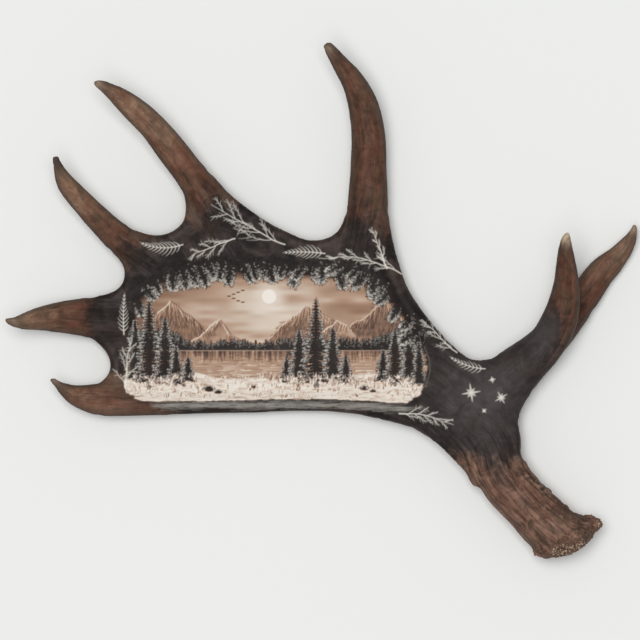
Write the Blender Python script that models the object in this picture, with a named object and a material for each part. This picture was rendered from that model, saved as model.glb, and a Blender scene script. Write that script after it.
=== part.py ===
"""A shed moose antler with a worked palm, lying on its back with the worked face up.

Metres, +Z up. The antler rests on Z = 0, with X to the burr's side and Y to the tall tine's side,
and its origin is under the middle of its bounding box. Stations and edge points are in millimetres.
One grown piece is shaped as a whole, and then parted at its main forks by thin saw cuts.
"""

import math
import random

import bmesh
import bpy
import numpy as np
from mathutils import Matrix, Vector

MM = 0.001

# The palm is a dished plate: its mid-surface rises from the belly towards the rim.
PALM_HALF_THICKNESS = 7.0
PALM_EDGE_RADIUS = 6.0
BELLY = (-81.0, -34.0)
BELLY_HEIGHT = 7.0
DISH_RISE = 26.0
DISH_REACH = (150.0, 95.0)

# Sizes of the skin: the fused grown shape, its smoothing, and the facets that are left.
VOXEL = 2.2
BLEND_PASSES = 7
SKIN_TRIANGLES = 7900
RING_SIDES = 20
SPAN_STEPS = 6

# The worn flats that the antler rests on are this deep.
REST_FLAT_DEPTH = 0.8

# How finely the plate's edge and its rounding, and the burr's balls, are drawn before they are fused.
EDGE_STEPS = 4
ROUNDING_STEPS = 4
DISC_FINENESS = 4
LUMP_FINENESS = 2

SAW_CUT = 0.3
SAW_BLADE_DEPTH = 20.0

# The burr: a rough disc round the beam's foot, with lumps round its rim, and the domed seal under it.
# A pair is a range: of a lump's radius, its place round the rim in lumps, its reach and its height.
BURR_CENTRE = (246.4, -235.4, 35.8)
BURR_AXIS = (0.50, -0.85, -0.16)
BURR_RADIUS = 32.3
BURR_HALF_HEIGHT = 6.0
BURR_LUMPS = 24
BURR_LUMP_RADII = (3.6, 5.2)
BURR_LUMP_TURNS = (-0.25, 0.25)
BURR_LUMP_REACH = (-4.0, -1.0)
BURR_LUMP_HEIGHTS = (-4.0, 4.0)
BURR_SEED = 7
SEAL_RADIUS = 29.0
SEAL_HEIGHT = 17.0

# The burr's two outstanding lumps are (x, y, z, radius): a hook at one end, and a knob at the other.
BURR_HOOK = (214.5, -252.5, 37.0, 4.0)
BURR_KNOB = (275.0, -222.8, 38.0, 7.2)

# Knobs along the beam's outer edge, between these stations of the beam.
# The pairs are the ranges of how deep a knob sits, in its own radii, and of how far off the middle.
EDGE_KNOBS = 9
EDGE_KNOB_STATIONS = slice(7, 12)
EDGE_KNOB_RADIUS = 4.2
EDGE_KNOB_DEPTHS = (0.25, 0.6)
EDGE_KNOB_OFFSETS = (-5.0, 5.0)
EDGE_KNOB_SEED = 11

# A station is (x, y, z, half width across, half depth), from inside the palm or beam out to the tip.
# The palm's two thickened rims run along it in the same way.
BRANCHES = {
    "palm_tine_1": [
        (20, 2, 18, 9, 5.5), (36, 34, 22, 14, 8.5), (45.5, 69, 27, 21, 11.5),
        (47, 101, 30.5, 20.6, 13.5), (47.5, 131, 33, 18.7, 13.5), (47.5, 162, 38, 17.7, 13),
        (42.3, 195, 46, 15.7, 12), (32, 219, 55, 12.2, 10), (20, 235.3, 62, 9.3, 8),
        (9.2, 250.8, 69, 6.6, 5.8), (5, 257, 72, 4.4, 4.2),
    ],
    "palm_tine_2": [
        (-74, 26, 16, 9, 5.5), (-89, 57, 20, 14, 8.5), (-106, 88, 26, 21, 11.5),
        (-118, 108, 29.5, 19.5, 12), (-131, 127, 33, 16.4, 12), (-151.5, 153.5, 40, 15.6, 12),
        (-169.8, 175.8, 48, 14.2, 11.5), (-193.5, 197.2, 60, 12, 10), (-211.5, 210.5, 69, 7.5, 6.8),
        (-221.5, 216.2, 75, 5.2, 4.8), (-226.3, 216.6, 78, 3.8, 3.8),
    ],
    "palm_tine_3": [
        (-130, 14, 14.5, 8, 5.5), (-158, 31, 18, 13, 8.5), (-181, 46, 23, 17, 10.5),
        (-201, 61, 27, 15.3, 11), (-219, 78.2, 31, 13.6, 11), (-237.8, 97.8, 38, 12.1, 10.5),
        (-253.5, 115.5, 47, 10.4, 9.3), (-260.7, 129, 55, 7, 6.6), (-263.9, 139, 61.5, 4.7, 4.6),
        (-264, 145, 65, 4.3, 4.2),
    ],
    "palm_tine_4": [
        (-142, -21, 11, 8, 5.5), (-172, -21, 13, 14, 8.5), (-201, -21.5, 18, 20, 10.5),
        (-221, -18.5, 21.5, 21, 11), (-241, -16.4, 26, 19.1, 12), (-261, -16.5, 31, 16, 12),
        (-281, -18, 39, 12.4, 10.5), (-295, -20.5, 46, 9.3, 8.3), (-305.5, -21.6, 53, 5.9, 5.7),
        (-312.5, -20, 58, 4, 4), (-317, -19, 61, 2.3, 2.3),
    ],
    "palm_tine_5": [
        (-160, -96, 19, 8, 5.5), (-190, -98, 22.5, 14.5, 8.5), (-209, -98.5, 25, 15.8, 10),
        (-230, -98, 28.5, 14.8, 10.5), (-246, -94.3, 33, 11.1, 9.5), (-256, -89, 38, 7.2, 6.8),
        (-263.5, -83.3, 42, 4.6, 4.5), (-270.5, -77.6, 46, 3.2, 3.2),
    ],
    "lower_rim": [
        (-214, -99.5, 26, 12, 8.5), (-190, -102.5, 24.5, 10.5, 9), (-150, -102.5, 21.5, 10, 9),
        (-100, -102, 18.5, 10, 9), (-50, -101, 18.5, 10, 9), (0, -100.5, 21.5, 10.5, 9.5),
        (35, -102, 24.5, 12, 10), (65, -108, 27, 12, 11), (88, -115, 28, 11, 12),
        (108, -124, 28, 9, 12),
    ],
    "bay_rim": [
        (56, 92, 31, 11, 11), (60.5, 62, 29.5, 10, 9.5), (68.5, 34, 28, 9, 9), (79.5, 8, 27, 9, 9),
        (94.5, -17, 27, 10, 9.5), (114, -42, 28, 11.5, 11), (139, -65, 30, 11, 12),
        (164, -78, 31, 14.5, 14.5),
    ],
    "beam": [
        (24, -52, 17, 14, 5.5), (58, -63, 21, 31, 9.5), (94, -79, 25, 41, 12), (120, -95, 27, 42, 14),
        (145, -115, 29, 39, 18), (165.6, -136.5, 31, 34.8, 21), (172.8, -158.6, 32, 28.8, 22.5),
        (180.2, -172.8, 33, 25.6, 23), (189, -186, 34, 25.6, 23), (205.5, -203, 34, 25.2, 23.5),
        (217.5, -216, 35, 25.6, 24.5), (226, -223.5, 35.3, 26.6, 25.5), (235, -231.8, 35.6, 27.6, 27),
        (241.5, -236.5, 35.8, 28, 28),
    ],
    "brow_branch": [
        (140, -118, 28, 30, 14), (165, -103, 30, 33, 18), (185.8, -79.5, 31, 27, 19.5),
        (203, -63.7, 33, 23.5, 19.5), (215.3, -52.8, 36, 21.1, 18.6), (228.4, -38.6, 41, 19.3, 17.5),
        (238.5, -19, 48, 18.4, 15.5), (243.3, 0, 57, 15.9, 13.5), (245, 19, 67, 13, 11.5),
        (244.5, 36, 78, 10.6, 9.5), (243.8, 51, 89, 8, 7.5), (244.3, 61, 97, 5.6, 5.4),
        (245.8, 67.5, 102, 3.6, 3.6),
    ],
    "brow_tine_rear": [
        (219, -53, 33, 17, 14), (235.2, -35.2, 28, 16.6, 14), (252.5, -11.6, 21.5, 16.1, 13.5),
        (266, 8, 16.5, 15.6, 13), (279, 26.5, 13, 14.7, 12.6), (288.5, 36, 12.2, 13.4, 12),
        (297, 44.5, 13, 11.1, 10.5), (305.3, 55, 15.5, 9, 8.8), (311.5, 65, 19.5, 5.8, 5.8),
        (314.6, 77, 24, 3.2, 3.2),
    ],
}

BEAM_FLUTES = 9
BEAM_FLUTE_DEPTH = 0.035

# The outer edge of the plate, anticlockwise from the lowest tine: the lower rim, the beam's two sides,
# the bay under the brow branch, and the bays between the tines. It crosses each branch near its root.
PLATE_EDGE = [
    (-240, -108), (-221, -115.5), (-191, -116), (-150, -114.5), (-100, -113), (-50, -112), (-20, -110.4),
    (10, -110.5), (35, -112), (60, -116.8), (80, -120.5), (99, -131), (119, -146), (142, -169),
    (158, -187), (198, -152), (195.6, -139), (197, -124), (201.5, -107), (210.5, -93), (227, -70),
    (236, -60), (218, -36), (203, -38), (189, -47), (178, -53.5), (168, -58), (158, -59), (148, -58),
    (138, -52.5), (124, -41), (113, -31), (106, -20.5), (95.2, -3.2), (86.3, 14.5), (79.8, 33), (73, 57), (68, 86),
    (63.5, 106), (30.5, 106), (25, 89), (20, 76), (12, 66), (-1, 61), (-16, 62), (-36, 70), (-61, 84),
    (-91, 107), (-108.5, 125), (-130, 144.5), (-151, 134.5), (-141, 113), (-136.5, 101), (-135.6, 91),
    (-138, 80), (-146, 71.3), (-158, 66.3), (-171, 66.5), (-186, 71), (-199, 79), (-213.5, 86.5),
    (-227.5, 72.5), (-219, 59), (-204, 43), (-198.5, 35), (-197, 26), (-198.7, 18.5), (-204, 12), (-214, 7.3),
    (-231, 3.7), (-247, -1), (-247, -31), (-236, -36), (-225, -41.5), (-216, -51), (-211.5, -60),
    (-211.5, -69), (-216, -77.5), (-225, -82.5), (-240, -87),
]

# A saw cut is (x, y, direction of the branch there in degrees, blade length, top): it parts that branch.
SAW_CUTS = [
    (47, 89, 90, 66, 130), (-124, 118, 128, 64, 130), (-201, 60, 136, 52, 130), (-229, -17, 180, 60, 130),
    (-223, -98, 180, 44, 130), (109, -83, 158, 116, 130), (194, -75, 47, 66, 130), (259, -3, 57, 48, 39),
]

# Each piece is known by a point inside it, on the plan.
PIECE_POINTS = {
    "palm": (-80, -30), "beam_and_burr": (180, -165), "brow_branch": (230, -35), "brow_tine_rear": (290, 38),
    "palm_tine_1": (47, 160), "palm_tine_2": (-165, 170), "palm_tine_3": (-235, 95),
    "palm_tine_4": (-265, -17), "palm_tine_5": (-245, -94),
}

# A finish is its name, its colour and its roughness.
PALM_STAIN = ("palm_stain", (0.045, 0.034, 0.030), 0.55)
TINE_STAIN = ("tine_stain", (0.155, 0.092, 0.062), 0.45)
BEAM_STAIN = ("beam_stain", (0.120, 0.072, 0.055), 0.6)
FINISHES = {"palm": PALM_STAIN, "beam_and_burr": BEAM_STAIN, "brow_branch": PALM_STAIN}


def clear_scene():
    for thing in list(bpy.data.objects):
        bpy.data.objects.remove(thing)


def spline(points, steps, closed=False):
    """Catmull-Rom through the points: a row for each step, with any number of columns."""
    rows = np.array(points, float)
    if closed:
        padded = np.vstack([rows[-1], rows, rows[:2]])
    else:
        padded = np.vstack([2 * rows[0] - rows[1], rows, 2 * rows[-1] - rows[-2]])
    t = np.linspace(0, 1, steps, endpoint=False)[:, None]
    spans = []
    for a, b, c, d in zip(padded, padded[1:], padded[2:], padded[3:]):
        spans.append(0.5 * (2 * b + (c - a) * t + (2 * a - 5 * b + 4 * c - d) * t**2
                            + (3 * b - a - 3 * c + d) * t**3))
    if not closed:
        spans.append(rows[-1:])
    return np.vstack(spans)


def dish_height(x, y):
    """Height of the palm's mid-surface, in millimetres."""
    reach = ((x - BELLY[0]) / DISH_REACH[0]) ** 2 + ((y - BELLY[1]) / DISH_REACH[1]) ** 2
    return BELLY_HEIGHT + DISH_RISE * (1 - np.exp(-reach))


def add_branch(bm, stations, flutes=0):
    """A closed loft of oval rings through the stations, with lengthwise flutes if asked."""
    rows = spline(stations, SPAN_STEPS)
    centres = rows[:, :3]
    tangents = np.gradient(centres, axis=0)
    rings = []
    for centre, tangent, width, depth in zip(centres, tangents, rows[:, 3], rows[:, 4]):
        along = Vector(tangent).normalized()
        across = along.cross(Vector((0, 0, 1))).normalized()
        over = across.cross(along)
        ring = []
        for side in range(RING_SIDES):
            turn = 2 * math.pi * side / RING_SIDES
            swell = 1 + BEAM_FLUTE_DEPTH * math.cos(flutes * turn) if flutes else 1
            offset = across * (width * swell * math.cos(turn)) + over * (depth * swell * math.sin(turn))
            ring.append(bm.verts.new((Vector(centre) + offset) * MM))
        rings.append(ring)
    for ring, following in zip(rings, rings[1:]):
        for side in range(RING_SIDES):
            after = (side + 1) % RING_SIDES
            bm.faces.new((ring[side], ring[after], following[after], following[side]))
    bm.faces.new(reversed(rings[0]))
    bm.faces.new(rings[-1])


def burr_frame():
    """A matrix whose Z runs out of the beam's foot, at the burr's centre."""
    turn = Vector(BURR_AXIS).to_track_quat("Z", "Y").to_matrix().to_4x4()
    return Matrix.Translation(Vector(BURR_CENTRE) * MM) @ turn


def add_burr(bm):
    """The disc of the burr, the lumps round its rim in two uneven rows, and the domed seal."""
    frame = burr_frame()
    disc = Matrix.Diagonal((BURR_RADIUS * MM, BURR_RADIUS * MM, BURR_HALF_HEIGHT * MM, 1))
    bmesh.ops.create_icosphere(bm, subdivisions=DISC_FINENESS, radius=1, matrix=frame @ disc)
    seal = Matrix.Diagonal((SEAL_RADIUS * MM, SEAL_RADIUS * MM, SEAL_HEIGHT * MM, 1))
    bmesh.ops.create_icosphere(bm, subdivisions=DISC_FINENESS, radius=1, matrix=frame @ seal)
    dice = random.Random(BURR_SEED)
    for lump in range(BURR_LUMPS):
        turn = 2 * math.pi * (lump + dice.uniform(*BURR_LUMP_TURNS)) / BURR_LUMPS
        radius = dice.uniform(*BURR_LUMP_RADII)
        reach = BURR_RADIUS + dice.uniform(*BURR_LUMP_REACH)
        height = dice.uniform(*BURR_LUMP_HEIGHTS)
        place = Vector((reach * math.cos(turn), reach * math.sin(turn), height)) * MM
        lump_matrix = frame @ Matrix.Translation(place)
        bmesh.ops.create_icosphere(bm, subdivisions=LUMP_FINENESS, radius=radius * MM, matrix=lump_matrix)
    for x, y, z, radius in (BURR_HOOK, BURR_KNOB):
        place = Matrix.Translation(Vector((x, y, z)) * MM)
        bmesh.ops.create_icosphere(bm, subdivisions=LUMP_FINENESS, radius=radius * MM, matrix=place)


def add_edge_knobs(bm):
    """Uneven knobs down the outer side of the beam."""
    dice = random.Random(EDGE_KNOB_SEED)
    rows = spline([station[:4] for station in BRANCHES["beam"][EDGE_KNOB_STATIONS]], SPAN_STEPS)
    picks = np.linspace(1, len(rows) - 2, EDGE_KNOBS).astype(int)
    for pick in picks:
        x, y, z, width = rows[pick]
        along = Vector(rows[pick + 1][:2] - rows[pick - 1][:2]).normalized()
        outward = Vector((-along.y, along.x))
        reach = width - EDGE_KNOB_RADIUS * dice.uniform(*EDGE_KNOB_DEPTHS)
        height = z + dice.uniform(*EDGE_KNOB_OFFSETS)
        place = Vector((x + outward.x * reach, y + outward.y * reach, height)) * MM
        bmesh.ops.create_icosphere(bm, subdivisions=LUMP_FINENESS, radius=EDGE_KNOB_RADIUS * MM,
                                   matrix=Matrix.Translation(place))


def evaluated_mesh(thing):
    """The object's mesh with its modifiers applied, and the object removed."""
    graph = bpy.context.evaluated_depsgraph_get()
    mesh = bpy.data.meshes.new_from_object(thing.evaluated_get(graph))
    bpy.data.objects.remove(thing)
    return mesh


def new_object(name, data):
    thing = bpy.data.objects.new(name, data)
    bpy.context.collection.objects.link(thing)
    return thing


def add_remesh(thing):
    remesh = thing.modifiers.new("fuse", "REMESH")
    remesh.mode = "VOXEL"
    remesh.voxel_size = VOXEL * MM


def palm_plate():
    """The plate: its edge as a filled curve with a rounded rim, then bent up into the dish."""
    edge = spline(PLATE_EDGE, EDGE_STEPS, closed=True)
    curve = bpy.data.curves.new("plate", "CURVE")
    curve.dimensions = "2D"
    curve.fill_mode = "BOTH"
    curve.extrude = (PALM_HALF_THICKNESS - PALM_EDGE_RADIUS) * MM
    curve.bevel_depth = PALM_EDGE_RADIUS * MM
    curve.bevel_resolution = ROUNDING_STEPS
    curve.offset = -PALM_EDGE_RADIUS * MM
    line = curve.splines.new("POLY")
    line.points.add(len(edge) - 1)
    line.use_cyclic_u = True
    for point, (x, y) in zip(line.points, edge):
        point.co = (x * MM, y * MM, 0, 1)
    plate = new_object("plate", curve)
    mesh = evaluated_mesh(plate)
    bpy.data.curves.remove(curve)
    flat = new_object("flat_plate", mesh)
    add_remesh(flat)
    mesh = evaluated_mesh(flat)
    for vertex in mesh.vertices:
        vertex.co.z += dish_height(vertex.co.x / MM, vertex.co.y / MM) * MM
    return mesh


def grown_shape():
    """Every branch, the burr and the plate, fused, blended and reduced to facets, as one mesh."""
    bm = bmesh.new()
    bm.from_mesh(palm_plate())
    for name, stations in BRANCHES.items():
        add_branch(bm, stations, flutes=BEAM_FLUTES if name == "beam" else 0)
    add_burr(bm)
    add_edge_knobs(bm)
    mesh = bpy.data.meshes.new("grown")
    bm.to_mesh(mesh)
    bm.free()
    antler = new_object("grown", mesh)
    add_remesh(antler)
    blend = antler.modifiers.new("blend", "SMOOTH")
    blend.iterations = BLEND_PASSES
    dense = evaluated_mesh(antler)
    reduced = new_object("reduced", dense)
    facets = reduced.modifiers.new("facets", "DECIMATE")
    facets.ratio = SKIN_TRIANGLES / (2 * len(dense.polygons))
    return evaluated_mesh(reduced)


def set_down(mesh):
    """Wears the lowest points flat, and puts them on Z = 0 under the middle of the bounding box."""
    bm = bmesh.new()
    bm.from_mesh(mesh)
    floor = min(vertex.co.z for vertex in bm.verts) + REST_FLAT_DEPTH * MM
    everything = bm.verts[:] + bm.edges[:] + bm.faces[:]
    worn = bmesh.ops.bisect_plane(bm, geom=everything, plane_co=(0, 0, floor), plane_no=(0, 0, 1),
                                  clear_inner=True)
    rim = [item for item in worn["geom_cut"] if isinstance(item, bmesh.types.BMEdge)]
    bmesh.ops.holes_fill(bm, edges=rim)
    bmesh.ops.triangulate(bm, faces=bm.faces[:])
    corners = np.array([vertex.co for vertex in bm.verts])
    middle = (corners.min(0) + corners.max(0)) / 2
    bmesh.ops.translate(bm, verts=bm.verts, vec=(-middle[0], -middle[1], -floor))
    bmesh.ops.recalc_face_normals(bm, faces=bm.faces[:])
    bm.to_mesh(mesh)
    bm.free()
    return Vector((middle[0], middle[1], 0))


def saw_blades(shift):
    """One mesh of thin upright blades, one across each branch at its fork."""
    bm = bmesh.new()
    for x, y, heading, length, top in SAW_CUTS:
        place = Matrix.Translation(Vector((x, y, (top - SAW_BLADE_DEPTH) / 2)) * MM - shift)
        turn = Matrix.Rotation(math.radians(heading), 4, "Z")
        size = Matrix.Diagonal((SAW_CUT * MM, length * MM, (top + SAW_BLADE_DEPTH) * MM, 1))
        bmesh.ops.create_cube(bm, size=1, matrix=place @ turn @ size)
    mesh = bpy.data.meshes.new("blades")
    bm.to_mesh(mesh)
    bm.free()
    blades = new_object("blades", mesh)
    blades.hide_render = True
    blades.display_type = "WIRE"
    return blades


def stained(name, colour, roughness):
    """A Principled BSDF of one colour and roughness."""
    material = bpy.data.materials.new(name)
    material.use_nodes = True
    shader = material.node_tree.nodes["Principled BSDF"]
    shader.inputs["Base Color"].default_value = (*colour, 1)
    shader.inputs["Roughness"].default_value = roughness
    shader.inputs["Metallic"].default_value = 0
    return material


def parted(mesh, shift):
    """The antler sawn through at its forks, as one named object for each piece."""
    whole = new_object("whole", mesh)
    blades = saw_blades(shift)
    cut = whole.modifiers.new("saw", "BOOLEAN")
    cut.operation = "DIFFERENCE"
    cut.object = blades
    sawn = new_object("sawn", evaluated_mesh(whole))
    bpy.data.objects.remove(blades)
    bpy.ops.object.select_all(action="DESELECT")
    bpy.context.view_layer.objects.active = sawn
    sawn.select_set(True)
    bpy.ops.object.mode_set(mode="EDIT")
    bpy.ops.mesh.separate(type="LOOSE")
    bpy.ops.object.mode_set(mode="OBJECT")
    pieces = list(bpy.context.selected_objects)
    for name, (x, y) in PIECE_POINTS.items():
        place = Vector((x, y, 0)) * MM - shift

        def distance(piece):
            return min((vertex.co.xy - place.xy).length for vertex in piece.data.vertices)

        nearest = min(pieces, key=distance)
        nearest.name = nearest.data.name = name
        pieces.remove(nearest)
        nearest.data.materials.clear()
        nearest.data.materials.append(stained(*FINISHES.get(name, TINE_STAIN)))
        nearest.data.shade_smooth()


clear_scene()
antler_mesh = grown_shape()
offset = set_down(antler_mesh)
parted(antler_mesh, offset)
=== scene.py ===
"""A carved and stained moose antler, lying worked face up on a pale surface, seen from straight above."""

import math

import bmesh
import bpy
import numpy as np
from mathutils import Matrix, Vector


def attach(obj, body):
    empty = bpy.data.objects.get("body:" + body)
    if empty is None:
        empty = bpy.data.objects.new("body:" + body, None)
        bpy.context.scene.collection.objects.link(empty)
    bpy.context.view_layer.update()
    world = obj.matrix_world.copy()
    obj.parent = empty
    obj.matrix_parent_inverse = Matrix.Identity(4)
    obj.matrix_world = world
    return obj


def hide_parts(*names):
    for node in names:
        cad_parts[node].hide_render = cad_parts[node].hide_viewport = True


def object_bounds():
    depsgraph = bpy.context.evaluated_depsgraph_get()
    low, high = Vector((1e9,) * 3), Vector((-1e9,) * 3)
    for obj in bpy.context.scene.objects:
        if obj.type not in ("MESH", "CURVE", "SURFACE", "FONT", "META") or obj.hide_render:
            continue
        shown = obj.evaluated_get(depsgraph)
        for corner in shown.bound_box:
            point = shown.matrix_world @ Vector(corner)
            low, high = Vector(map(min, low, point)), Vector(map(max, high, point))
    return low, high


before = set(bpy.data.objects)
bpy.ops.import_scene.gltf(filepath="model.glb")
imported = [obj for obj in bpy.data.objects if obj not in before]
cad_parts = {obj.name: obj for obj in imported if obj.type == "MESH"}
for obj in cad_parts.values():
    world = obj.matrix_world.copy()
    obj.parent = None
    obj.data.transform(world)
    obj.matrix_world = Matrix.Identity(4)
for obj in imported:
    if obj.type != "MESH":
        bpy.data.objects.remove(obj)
cad_low, cad_high = [np.array(corner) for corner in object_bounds()]
MM = 0.001


# The surface, the light and the camera. The antler lies on a large matt white surface in soft daylight
# from above and a little to the upper left, and the camera looks straight down on it.
SURFACE_SIZE = 9.0
SURFACE_WHITE = (0.83, 0.835, 0.82)
VIEW_CENTRE = (-0.001, -0.0194)
VIEW_HEIGHT = 20.0
VIEW_WIDTH = 0.640
VIEW_LEVEL = 0.025
SENSOR_WIDTH = 36.0


def placed(name, data):
    """A new object in the scene that holds this data."""
    holder = bpy.data.objects.new(name, data)
    bpy.context.scene.collection.objects.link(holder)
    return holder


def soft_light(name, place, size, power, colour):
    """A square area light that points at the antler."""
    lamp = bpy.data.lights.new(name, "AREA")
    lamp.shape = "SQUARE"
    lamp.size = size
    lamp.energy = power
    lamp.color = colour
    holder = placed(name, lamp)
    holder.location = place
    holder.rotation_euler = (-Vector(place)).to_track_quat("-Z", "Y").to_euler()


def pale_surface():
    bpy.ops.mesh.primitive_plane_add(size=SURFACE_SIZE, location=(0, 0, 0))
    surface = bpy.context.object
    surface.name = "pale_surface"
    paint = bpy.data.materials.new("matt_white")
    paint.use_nodes = True
    shader = paint.node_tree.nodes["Principled BSDF"]
    shader.inputs["Base Color"].default_value = (*SURFACE_WHITE, 1)
    shader.inputs["Roughness"].default_value = 0.9
    shader.inputs["Specular IOR Level"].default_value = 0.1
    surface.data.materials.append(paint)


def daylight():
    world = bpy.data.worlds.new("pale_room")
    world.use_nodes = True
    background = world.node_tree.nodes["Background"]
    background.inputs["Color"].default_value = (0.97, 0.985, 1.0, 1)
    background.inputs["Strength"].default_value = 0.36
    bpy.context.scene.world = world
    soft_light("window", (-2.6, 3.2, 24.0), 9.0, 2160, (1.0, 0.985, 0.955))
    soft_light("room", (-1.0, -0.8, 24.0), 11.0, 2000, (0.98, 0.99, 1.0))


def camera_above():
    lens = bpy.data.cameras.new("camera")
    lens.sensor_width = SENSOR_WIDTH
    lens.lens = SENSOR_WIDTH * (VIEW_HEIGHT - VIEW_LEVEL) / VIEW_WIDTH
    lens.clip_end = 50
    holder = placed("camera", lens)
    holder.location = (*VIEW_CENTRE, VIEW_HEIGHT)
    bpy.context.scene.camera = holder
    bpy.context.scene.view_settings.view_transform = "Standard"


pale_surface()
daylight()
camera_above()


# The grown bone. An antler grows as one piece, with a skin that runs on without a seam from burr to
# tips, so one fine mesh is laid over all nine solids here, and parted again where they part.
LAYING_CELL = 2.6 * MM
CUT_CLOSING = 0.2 * MM
RELAX_PASSES = 10
RELAX_IN = 0.5
RELAX_OUT = -0.53
FINE_AREA = [(-222, 70), (-140, 118), (-100, 112), (-40, 76), (20, 66), (78, 74), (112, -20), (166, -50),
             (222, -52), (232, -96), (210, -140), (120, -160), (60, -132), (-222, -122)]
BURR_CENTRE = np.array([246.4, -235.0, 35.0])
BURR_FINE_REACH = 47.0

# Where the solids part, at the foot of each limb: x, y, the limb's heading, the cut's half width and height.
FORKS = {
    "brow_tine_rear": (259, -2.5, 57, 24, 39), "brow_branch": (194, -74.5, 47, 110, 200),
    "beam_and_burr": (109, -82.5, -22, 300, 200), "palm_tine_1": (47, 89.5, 90, 40, 200),
    "palm_tine_2": (-124, 118.5, 128, 50, 200), "palm_tine_3": (-201, 60.5, 136, 50, 200),
    "palm_tine_4": (-229, -16.5, 180, 45, 200), "palm_tine_5": (-223, -97.5, 180, 40, 200),
}
CUT_REACH = 5.0
HEALING_PASSES = 9


def laid_skin():
    """The solids' surfaces, swollen just enough to close the cuts, fused and evened out."""
    bm = bmesh.new()
    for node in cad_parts.values():
        solid = bmesh.new()
        solid.from_mesh(node.data)
        bmesh.ops.remove_doubles(solid, verts=solid.verts, dist=0.001 * MM)
        solid.normal_update()
        for vertex in solid.verts:
            vertex.co += vertex.normal * CUT_CLOSING
        swollen = bpy.data.meshes.new("swollen")
        solid.to_mesh(swollen)
        solid.free()
        bm.from_mesh(swollen)
        bpy.data.meshes.remove(swollen)
    mesh = bpy.data.meshes.new("skin")
    bm.to_mesh(mesh)
    bm.free()
    return with_modifier(mesh, "REMESH", mode="VOXEL", voxel_size=LAYING_CELL)


def with_modifier(mesh, kind, **settings):
    """A new mesh: this one with a modifier applied."""
    holder = placed("holder", mesh)
    modifier = holder.modifiers.new("step", kind)
    for name, value in settings.items():
        setattr(modifier, name, value)
    graph = bpy.context.evaluated_depsgraph_get()
    result = bpy.data.meshes.new_from_object(holder.evaluated_get(graph))
    bpy.data.objects.remove(holder)
    bpy.data.meshes.remove(mesh)
    return result


def rows_of(table, field, width, kind=np.float32):
    """One field of a mesh's points, edges, corners or faces, a row each."""
    flat = np.empty(len(table) * width, kind)
    table.foreach_get(field, flat)
    return flat.reshape(-1, width)


def points_of(mesh):
    """The mesh's points in millimetres."""
    return rows_of(mesh.vertices, "co", 3).astype(float) / MM


def put_points(mesh, points):
    mesh.vertices.foreach_set("co", (points * MM).astype(np.float32).ravel())
    mesh.update()


def normals_of(mesh):
    return rows_of(mesh.vertex_normals, "vector", 3).astype(float)


def neighbour_mean(mesh):
    """A function that gives, for values at the points, the mean over each point's neighbours."""
    ends = rows_of(mesh.edges, "vertices", 2, np.int32)
    here = np.concatenate([ends[:, 0], ends[:, 1]])
    there = np.concatenate([ends[:, 1], ends[:, 0]])
    total = len(mesh.vertices)
    count = np.maximum(np.bincount(here, minlength=total), 1)

    def mean(values):
        columns = values.reshape(total, -1)
        sums = [np.bincount(here, weights=column[there], minlength=total) for column in columns.T]
        return (np.stack(sums, 1) / count[:, None]).reshape(values.shape)

    return mean


def relax(mesh, passes):
    """Evens out the facets without shrinking the shape."""
    mean = neighbour_mean(mesh)
    points = points_of(mesh)
    for _ in range(passes):
        for share in (RELAX_IN, RELAX_OUT):
            points += share * (mean(points) - points)
    put_points(mesh, points)


def beyond_fork(points, x, y, heading, half, top):
    """How far each point lies past a fork, and whether it is beside the limb rather than on it."""
    ahead = np.array([math.cos(math.radians(heading)), math.sin(math.radians(heading))])
    away = points[:, :2] - (x, y)
    return away @ ahead, (np.abs(away @ (-ahead[1], ahead[0])) > half) | (points[:, 2] > top)


def cut_nearness(points):
    """1 on the cuts between the solids, down to 0 a few millimetres away."""
    near = np.zeros(len(points))
    for fork in FORKS.values():
        past, beside = beyond_fork(points, *fork)
        near = np.maximum(near, smooth_step(CUT_REACH, CUT_REACH / 2, np.abs(past)) * ~beside)
    return near


def heal_cuts(mesh, passes):
    """Smooths the skin over the cuts, which leave a faint line in it."""
    mean = neighbour_mean(mesh)
    points = points_of(mesh)
    share = 0.8 * cut_nearness(points)[:, None]
    for _ in range(passes):
        points += share * (mean(points) - points)
    put_points(mesh, points)


def inside_outline(x, y, outline):
    """Which of the points lie inside a closed outline."""
    inside = np.zeros(np.shape(x), bool)
    for (x0, y0), (x1, y1) in zip(outline, outline[1:] + outline[:1]):
        if y0 != y1:
            inside ^= ((y0 > y) != (y1 > y)) & (x < (x1 - x0) * (y - y0) / (y1 - y0) + x0)
    return inside


def halve_faces_of_fine_areas(mesh):
    """Twice as fine where the face is worked, and on the burr."""
    bm = bmesh.new()
    bm.from_mesh(mesh)
    centres = np.array([face.calc_center_median() for face in bm.faces]) / MM
    upward = np.array([face.normal.z for face in bm.faces])
    fine = inside_outline(centres[:, 0], centres[:, 1], FINE_AREA) & (upward > 0.35)
    fine |= np.linalg.norm(centres - BURR_CENTRE, axis=1) < BURR_FINE_REACH
    bm.faces.ensure_lookup_table()
    edges = {edge for index in np.nonzero(fine)[0] for edge in bm.faces[index].edges}
    bmesh.ops.subdivide_edges(bm, edges=list(edges), cuts=1, use_grid_fill=True)
    bm.to_mesh(mesh)
    bm.free()


def smooth_step(low, high, value):
    t = np.clip((value - low) / (high - low), 0, 1)
    return t * t * (3 - 2 * t)


def lumps(points, seed):
    """Smooth noise from 0 to 1 at points given in its own cells."""
    cell = np.floor(points).astype(np.int64)
    part = points - cell
    part = part * part * (3 - 2 * part)
    table = np.random.default_rng(seed).random(4096)
    total = np.zeros(len(points))
    for corner in range(8):
        step = np.array([corner & 1, corner >> 1 & 1, corner >> 2 & 1])
        x, y, z = (cell + step).T
        value = table[(x * 73856093 ^ y * 19349663 ^ z * 83492791) & 4095]
        weight = np.prod(np.where(step, part, 1 - part), axis=1)
        total += weight * value
    return total


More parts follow.
